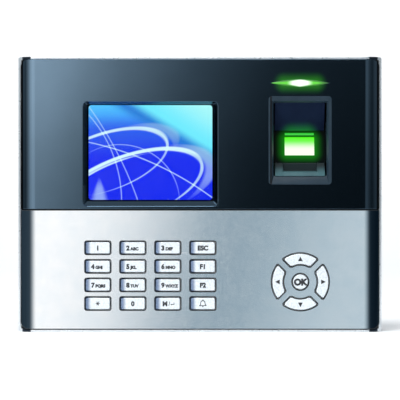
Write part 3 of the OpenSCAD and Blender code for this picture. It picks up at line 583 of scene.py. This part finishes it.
def pearl_cap(node, left_shade_painted):
    """Pearl finish; on a pad key a band of painted shade fades in towards its left end."""
    pearl = new_finish(node + "_pearl", (0.85, 0.89, 0.92), 0.28, metallic=0.1, coat=0.4)
    axes = axes_in(pearl)
    noise = add_node(pearl, "ShaderNodeTexNoise", [(place_in(pearl), "Vector")], Scale=700.0)
    colour = blended(pearl, noise.outputs[0], (0.7, 0.765, 0.81), (0.78, 0.83, 0.87))
    if left_shade_painted:
        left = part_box(node)[0].x + flange_side
        # Painted shade: blue-grey darkening over the left end of the cap.
        shade = fade(pearl, axes["X"], left + band_solid, left + band_width)
        colour = blended(pearl, shade, (0.13, 0.19, 0.31), colour)
    to_shader(pearl, colour, "Base Color")
    uneven_gloss(pearl, 0.24, 0.32, 900)
    return pearl


def pad_cap(node):
    shape = clean_copy(node)
    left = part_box(node)[0].x + flange_side
    for step in range(1, band_steps + 1):
        bmesh.ops.bisect_plane(shape, geom=shape.verts[:] + shape.edges[:] + shape.faces[:],
                               plane_co=(left + band_width * step / band_steps, 0, 0), plane_no=(1, 0, 0))
    for v in shape.verts:
        if v.co.y < cap_front + 0.01 * mm and v.co.x < left + band_width:
            v.co.y += band_drop * ((left + band_width - v.co.x) / band_width) ** 2
    return fit_piece(shape, node + "_cap", node, pearl_cap(node, True), 0.3 * mm, 3)


ink = new_finish("black_ink", (0.012, 0.014, 0.018), 0.4)
mottled(ink, (0.01, 0.012, 0.016), (0.02, 0.022, 0.028), 900)
ink_depth = 0.02 * mm
big_size, small_size = 3.1 * mm, 2.0 * mm
base_line = -1.15 * mm


def characters(text, size, left=None, base=0.0, boldness=0.06):
    """Printed characters as a thin solid facing -Y; centred on x = 0 unless left is given."""
    line = bpy.data.curves.new("line", "FONT")
    line.body = text
    line.size = size
    line.extrude = ink_depth / 2
    line.offset = boldness * size
    line.resolution_u = 4
    line.align_x = "CENTER" if left is None else "LEFT"
    line_object = into_scene("line", line)
    bpy.context.view_layer.update()
    mesh = bpy.data.meshes.new_from_object(line_object)
    bpy.data.objects.remove(line_object)
    shape = bmesh.new()
    shape.from_mesh(mesh)
    bpy.data.meshes.remove(mesh)
    upright = Matrix.Rotation(math.pi / 2, 3, "X")
    bmesh.ops.rotate(shape, verts=shape.verts, cent=(0, 0, 0), matrix=upright)
    bmesh.ops.translate(shape, verts=shape.verts, vec=(left or 0, 0, base))
    return shape


def joined(shapes):
    whole = bmesh.new()
    for shape in shapes:
        mesh = bpy.data.meshes.new("part")
        shape.to_mesh(mesh)
        whole.from_mesh(mesh)
        shape.free()
        bpy.data.meshes.remove(mesh)
    return whole


def print_on(node, shapes, middle):
    legend = joined(shapes)
    bmesh.ops.translate(legend, verts=legend.verts, vec=middle - Vector((0, ink_depth, 0)))
    legend_piece = fit_piece(legend, node + "_legend", node, ink, stands_for=False)
    legend_piece.data.polygons.foreach_set("use_smooth", [False] * len(legend_piece.data.polygons))


def flat_prism(points, depth=ink_depth):
    """A thin solid over an outline of (x, z) points."""
    shape = bmesh.new()
    face = shape.faces.new([shape.verts.new((x, 0, z)) for x, z in points])
    grown = bmesh.ops.extrude_face_region(shape, geom=[face])["geom"]
    bmesh.ops.translate(shape, verts=[v for v in grown if isinstance(v, bmesh.types.BMVert)],
                        vec=(0, depth, 0))
    bmesh.ops.recalc_face_normals(shape, faces=shape.faces)
    return shape


def ring_outline(points, width):
    """A closed line of that width along (x, z) points, as short thin bars."""
    bars = []
    for (x0, z0), (x1, z1) in zip(points, points[1:] + points[:1]):
        run = Vector((x1 - x0, z1 - z0)).normalized() * width / 2
        side = Vector((-run.y, run.x))
        corners = ((x0, z0, -1, -1), (x1, z1, 1, -1), (x1, z1, 1, 1), (x0, z0, -1, 1))
        bars.append(flat_prism([(x + end * run.x + hand * side.x, z + end * run.y + hand * side.y)
                                for x, z, end, hand in corners]))
    return bars


def arc(radius, height, last, step):
    """Points round a centre at that height, anticlockwise from the right, as (x, z)."""
    return [(radius * math.cos(math.radians(a)), height + radius * math.sin(math.radians(a)))
            for a in range(0, last, step)]


def bell():
    """The bell of the doorbell key: a dome on a flared lip, with its knob and clapper."""
    waist, waist_z, lip, lip_z = 1.15 * mm, -0.5 * mm, 1.6 * mm, -1.0 * mm
    outline = arc(1.05 * mm, 0.35 * mm, 181, 20)
    outline += [(-waist, waist_z), (-lip, lip_z), (lip, lip_z), (waist, waist_z)]
    knob = arc(0.3 * mm, 1.65 * mm, 360, 45)
    clapper = [(-0.45 * mm, -1.25 * mm), (0.45 * mm, -1.25 * mm),
               (0.25 * mm, -1.65 * mm), (-0.25 * mm, -1.65 * mm)]
    return ring_outline(outline, 0.34 * mm) + [flat_prism(knob), flat_prism(clapper)]


def star():
    """The star key's sign: three bars crossed at sixty degrees."""
    arm, line = 1.05 * mm, 0.17 * mm
    bars = []
    for turn in (0, 60, 120):
        a = math.radians(turn)
        bars.append(flat_prism([(x * math.cos(a) - z * math.sin(a), x * math.sin(a) + z * math.cos(a))
                                for x, z in ((-arm, -line), (arm, -line), (arm, line), (-arm, line))]))
    return bars


def menu_sign():
    """The menu key's sign: an M, a slanting stroke and an arrow that turns back."""
    arrow = [(1.3, -0.5), (2.0, -0.05), (2.0, -0.35), (2.9, -0.35), (2.9, 0.5), (3.2, 0.5),
             (3.2, -0.65), (2.0, -0.65), (2.0, -0.95)]
    stroke = [(0.3, -1.1), (0.6, -1.1), (1.2, 1.1), (0.9, 1.1)]
    letter = characters("M", big_size, -2.6 * mm, base_line)
    return [letter] + [flat_prism([(x * mm, z * mm) for x, z in outline]) for outline in (arrow, stroke)]


big_left, small_left, small_boldness = -3.2 * mm, -1.1 * mm, 0.075
LETTERS = {"key_1": ("1", ""), "key_2": ("2", "ABC"), "key_3": ("3", "DEF"), "key_4": ("4", "GHI"),
           "key_5": ("5", "JKL"), "key_6": ("6", "MNO"), "key_7": ("7", "PQRS"), "key_8": ("8", "TUV"),
           "key_9": ("9", "WXYZ"), "key_0": ("0", ""), "key_star": ("", ""), "key_menu": ("", ""),
           "key_esc": ("ESC", ""), "key_f1": ("F1", ""), "key_f2": ("F2", ""), "key_bell": ("", "")}
SIGNS = {"key_bell": bell, "key_star": star, "key_menu": menu_sign}
for node, (big, small) in LETTERS.items():
    pad_cap(node)
    if node in SIGNS:
        marks = SIGNS[node]()
    elif small:
        marks = [characters(big, big_size, big_left, base_line),
                 characters(small, small_size, small_left, base_line, small_boldness)]
    else:
        marks = [characters(big, big_size, None, base_line)]
    print_on(node, marks, key_mid(node))

# Arrow keys and the OK key: the same pearl mouldings in a ring round a round one, each with
# a black printed mark.
ok_mid = key_mid("ok_key")
mark_radius, mark_half = 11.3 * mm, 1.15 * mm
triangle = [(-mark_half, mark_radius - mark_half), (mark_half, mark_radius - mark_half),
            (0, mark_radius + mark_half)]
for quarter, node in enumerate(("nav_up", "nav_left", "nav_down", "nav_right")):
    fit_piece(clean_copy(node), node + "_cap", node, pearl_cap(node, False), 0.3 * mm, 3)
    mark = flat_prism(triangle)
    turned = Matrix.Rotation(-quarter * math.pi / 2, 3, "Y")
    bmesh.ops.rotate(mark, verts=mark.verts, cent=(0, 0, 0), matrix=turned)
    print_on(node, [mark], ok_mid)
fit_piece(clean_copy("ok_key"), "ok_key_cap", "ok_key", pearl_cap("ok_key", False), 0.35 * mm, 3)
print_on("ok_key", [characters("OK", 4.2 * mm, None, -1.55 * mm, 0.07)], ok_mid)

# Sensor bezel. Blue-grey satin ABS: a slim frame standing proud of the fascia, with a tube
# behind it that guides the finger. The groove down its left side is painted black as shade.
bezel_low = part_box("fingerprint_bezel")[0]
bezel_finish = new_finish("blue_grey_satin", (0.018, 0.034, 0.05), 0.32, ior=1.27)
bezel_shades = mottled(bezel_finish, (0.016, 0.031, 0.046), (0.02, 0.037, 0.054), 150)
bezel_across = axes_in(bezel_finish)["X"]
# Painted shade: black in the groove down the bezel's left side.
groove_painted_shade = maths(bezel_finish, "MULTIPLY",
              fade(bezel_finish, bezel_across, bezel_low.x + 0.6 * mm, bezel_low.x + 0.75 * mm),
              fade(bezel_finish, bezel_across, bezel_low.x + 1.5 * mm, bezel_low.x + 1.35 * mm))
to_shader(bezel_finish, blended(bezel_finish, groove_painted_shade, bezel_shades.outputs["Color"], (0.001, 0.001, 0.002)),
          "Base Color")
uneven_gloss(bezel_finish, 0.28, 0.38, 700)
grained(bezel_finish, 7000, 0.008 * mm)
bezel = fit_piece(clean_copy("fingerprint_bezel", 0), "fingerprint_bezel_finished", "fingerprint_bezel",
                  bezel_finish, 0.12 * mm, 2)
bezel.modifiers["rounded_edges"].use_clamp_overlap = True

# Hood over the fingertip: dark navy ABS, sloping back from the bezel's upper edge. It is moulded
# on its own and keeps stray light off the sensor.
navy = new_finish("navy_satin", (0.005, 0.013, 0.038), 0.5, ior=1.15)
mottled(navy, (0.004, 0.011, 0.034), (0.006, 0.015, 0.043), 150)
grained(navy, 7000, 0.01 * mm)
finished("finger_hood", navy, 0.2 * mm)

# Sill below the sensor: grey ABS with a ramp at each side that centres the finger, with painted
# shade deepening towards the sensor, in the recess under the hood.
sill_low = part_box("finger_rest")[0]
sill_grey = new_finish("sill_grey", (0.04, 0.1, 0.115), 0.35, ior=1.2)
sill_shades = mottled(sill_grey, (0.036, 0.09, 0.105), (0.044, 0.11, 0.125), 150)
sill_depth = axes_in(sill_grey)["Y"]
# Painted shade: the sill darkens with depth into the recess under the hood.
recess_painted_shade = fade(sill_grey, sill_depth, sill_low.y + 0.8 * mm, sill_low.y + 4.5 * mm)
to_shader(sill_grey, blended(sill_grey, recess_painted_shade, sill_shades.outputs["Color"], (0.008, 0.016, 0.018)),
          "Base Color")
grained(sill_grey, 7000, 0.008 * mm)
finished("finger_rest", sill_grey, 0.25 * mm)

# Sensor block. Smoked black polycarbonate round a glass prism, with two green lamps at each side
# of it. The block, the hood and the bezel carry a painted green glow round the window.
window_offset, window_height = -0.1 * mm, 23.8 * mm
window_mid = Vector((ok_mid.x + window_offset, 0, window_height))


def painted_glow(finish, middle, half_width, half_height, reach, colour, strength):
    """Painted glow: green emission in the plastic round a lit window, fading with distance."""
    axes = axes_in(finish)
    gaps = []
    for axis, centre, half in (("X", middle.x, half_width), ("Z", middle.z, half_height)):
        off = maths(finish, "ABSOLUTE", maths(finish, "SUBTRACT", axes[axis], centre))
        gaps.append(maths(finish, "MAXIMUM", maths(finish, "SUBTRACT", off, half), 0))
    gap = maths(finish, "SQRT", maths(finish, "ADD", maths(finish, "POWER", gaps[0], 2),
                                      maths(finish, "POWER", gaps[1], 2)))
    light = maths(finish, "POWER", fade(finish, gap, reach, 0), 1.5)
    to_shader(finish, blended(finish, light, (0, 0, 0), colour), "Emission Color")
    shader_of(finish).inputs["Emission Strength"].default_value = strength


smoked = new_finish("smoked_black", (0.002, 0.004, 0.004), 0.15, ior=1.1)
uneven_gloss(smoked, 0.12, 0.18, 600)
# Painted green glow on the sensor block, the hood and the bezel round the window.
painted_glow(smoked, window_mid, 6 * mm, 3.2 * mm, 7 * mm, (0.01, 0.45, 0.005), 0.5)
painted_glow(navy, window_mid, 3.5 * mm, 5.5 * mm, 8 * mm, (0.01, 0.3, 0.005), 0.7)
painted_glow(bezel_finish, window_mid, 8 * mm, 5 * mm, 5 * mm, (0.01, 0.12, 0.02), 0.5)
finished("sensor_housing", smoked, 0.1 * mm)

prism_glow = new_finish("lit_prism", (0.05, 0.2, 0.04), 0.08)
prism_height = axes_in(prism_glow)["Z"]
glow_white, glow_green = 22 * mm, 27 * mm
line_low, line_full = 28.5 * mm, 28.9 * mm
lower = fade(prism_glow, prism_height, glow_green, glow_white)
prism_colour = blended(prism_glow, lower, (0.08, 0.9, 0.0), (0.88, 0.97, 0.8))
line_share = fade(prism_glow, prism_height, line_low, line_full)
prism_colour = blended(prism_glow, line_share, prism_colour, (0.02, 0.5, 0.03))
to_shader(prism_glow, prism_colour, "Emission Color")
shader_of(prism_glow).inputs["Emission Strength"].default_value = 1.05
finished("sensor_prism", prism_glow, 0)

led = new_finish("green_led", (0.5, 0.9, 0.45), 0.2)
shader_of(led).inputs["Emission Color"].default_value = (0.1, 1.0, 0.05, 1)
shader_of(led).inputs["Emission Strength"].default_value = 2
uneven_gloss(led, 0.15, 0.25, 900)
finished("sensor_leds", led, 0.15 * mm)

# Status light: a pointed lens of milky polycarbonate in the fascia, white-hot in the middle
# and green towards its tips.
lens_low, lens_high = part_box("status_lens")
lens_mid = (lens_low + lens_high) / 2
lens_half, spine_half, spine_blur = 14.2 * mm, 1.9 * mm, 0.12 * mm
milky = new_finish("milky_lens", (0.04, 0.1, 0.04), 0.2)
lens_axes = axes_in(milky)
along_lens = maths(milky, "SUBTRACT", lens_axes["X"], lens_mid.x)
off_middle = maths(milky, "DIVIDE", maths(milky, "ABSOLUTE", along_lens), lens_half)
off_axis = maths(milky, "ABSOLUTE", maths(milky, "SUBTRACT", lens_axes["Z"], lens_mid.z))
taper = maths(milky, "POWER", maths(milky, "SUBTRACT", 1, off_middle), 1.5)
spine = maths(milky, "MULTIPLY", taper, spine_half)
strip = fade(milky, maths(milky, "DIVIDE", off_axis, maths(milky, "ADD", spine, spine_blur)), 1.1, 0.5)
core = maths(milky, "MULTIPLY", strip, fade(milky, off_middle, 0.48, 0.18))
lens_colour = blended(milky, strip, (0.02, 0.16, 0.0), (0.08, 0.55, 0.01))
lens_colour = blended(milky, core, lens_colour, (0.97, 1.0, 0.95))
lens_colour = blended(milky, fade(milky, along_lens, 8 * mm, 13 * mm), lens_colour, (0.006, 0.05, 0.0))
to_shader(milky, lens_colour, "Emission Color")
shader_of(milky).inputs["Emission Strength"].default_value = 1.2
finished("status_lens", milky, 0.3 * mm, 3)
# Painted glow: a green halo emitted by the black fascia round the status lens.
painted_glow(gloss_black, lens_mid, 8 * mm, 0.2 * mm, 6.5 * mm, (0.03, 0.3, 0.0), 0.6)
